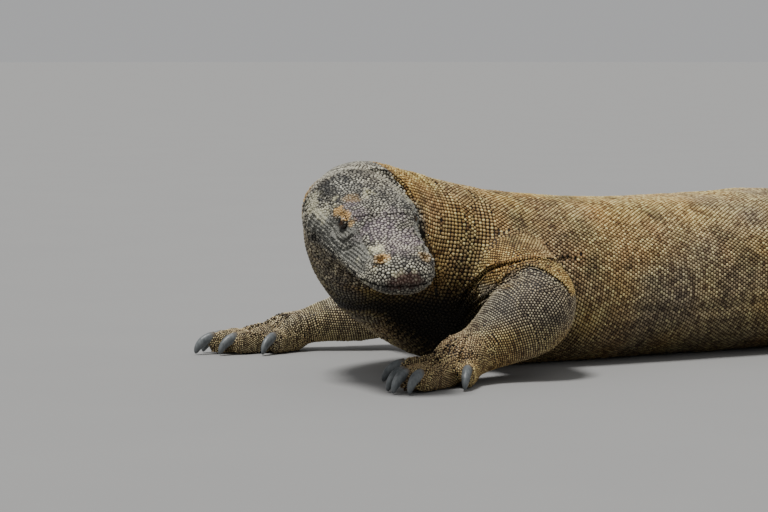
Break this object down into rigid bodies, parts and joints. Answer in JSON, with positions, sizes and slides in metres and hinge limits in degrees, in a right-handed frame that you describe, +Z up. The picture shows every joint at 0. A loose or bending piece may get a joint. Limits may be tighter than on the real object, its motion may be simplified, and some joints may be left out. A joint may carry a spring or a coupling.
{
  "type": "komodo dragon",
  "caption": "Life-size still model of a resting Komodo dragon lying on its belly, head turned to its left, forelegs spread, tail in a long curve",
  "frame": {"origin": "on the floor, at the middle of the flat that the belly rests on, under the trunk", "axes": "+Z up; the trunk lies along X with the head towards -X, so the animal's left side faces -Y"},
  "size_m": [2.1676, 0.8306, 0.2627],
  "materials": {
    "head_hide": "pebbled scales, dark grey with cream specks",
    "body_hide": "beaded scales in rows, rust brown and ochre over dark skin",
    "tail_hide": "keeled scales in rings, grey brown",
    "limb_hide": "beaded scales in bands, grey brown with pale edges",
    "claw_horn": "satin slate-grey horn",
    "eye": "wet gloss, dark brown"
  },
  "bodies": {
    "root": {"head": "head_hide", "lower_jaw": "head_hide", "neck": "body_hide", "trunk_front": "body_hide", "trunk_rear": "body_hide", "tail_base": "tail_hide", "tail_middle": "tail_hide", "tail_end": "tail_hide", "upper_arm_left": "limb_hide", "forearm_left": "limb_hide", "hand_left": "limb_hide", "thigh_left": "limb_hide", "shin_left": "limb_hide", "foot_left": "limb_hide", "upper_arm_right": "limb_hide", "forearm_right": "limb_hide", "hand_right": "limb_hide", "thigh_right": "limb_hide", "shin_right": "limb_hide", "foot_right": "limb_hide", "claw_front_left_1": "claw_horn", "claw_front_left_2": "claw_horn", "claw_front_left_3": "claw_horn", "claw_front_left_4": "claw_horn", "claw_front_left_5": "claw_horn", "claw_front_right_1": "claw_horn", "claw_front_right_2": "claw_horn", "claw_front_right_3": "claw_horn", "claw_front_right_4": "claw_horn", "claw_front_right_5": "claw_horn", "claw_back_left_1": "claw_horn", "claw_back_left_2": "claw_horn", "claw_back_left_3": "claw_horn", "claw_back_left_4": "claw_horn", "claw_back_left_5": "claw_horn", "claw_back_right_1": "claw_horn", "claw_back_right_2": "claw_horn", "claw_back_right_3": "claw_horn", "claw_back_right_4": "claw_horn", "claw_back_right_5": "claw_horn", "eye_left": "eye", "eye_right": "eye"}
  },
  "joints": []
}
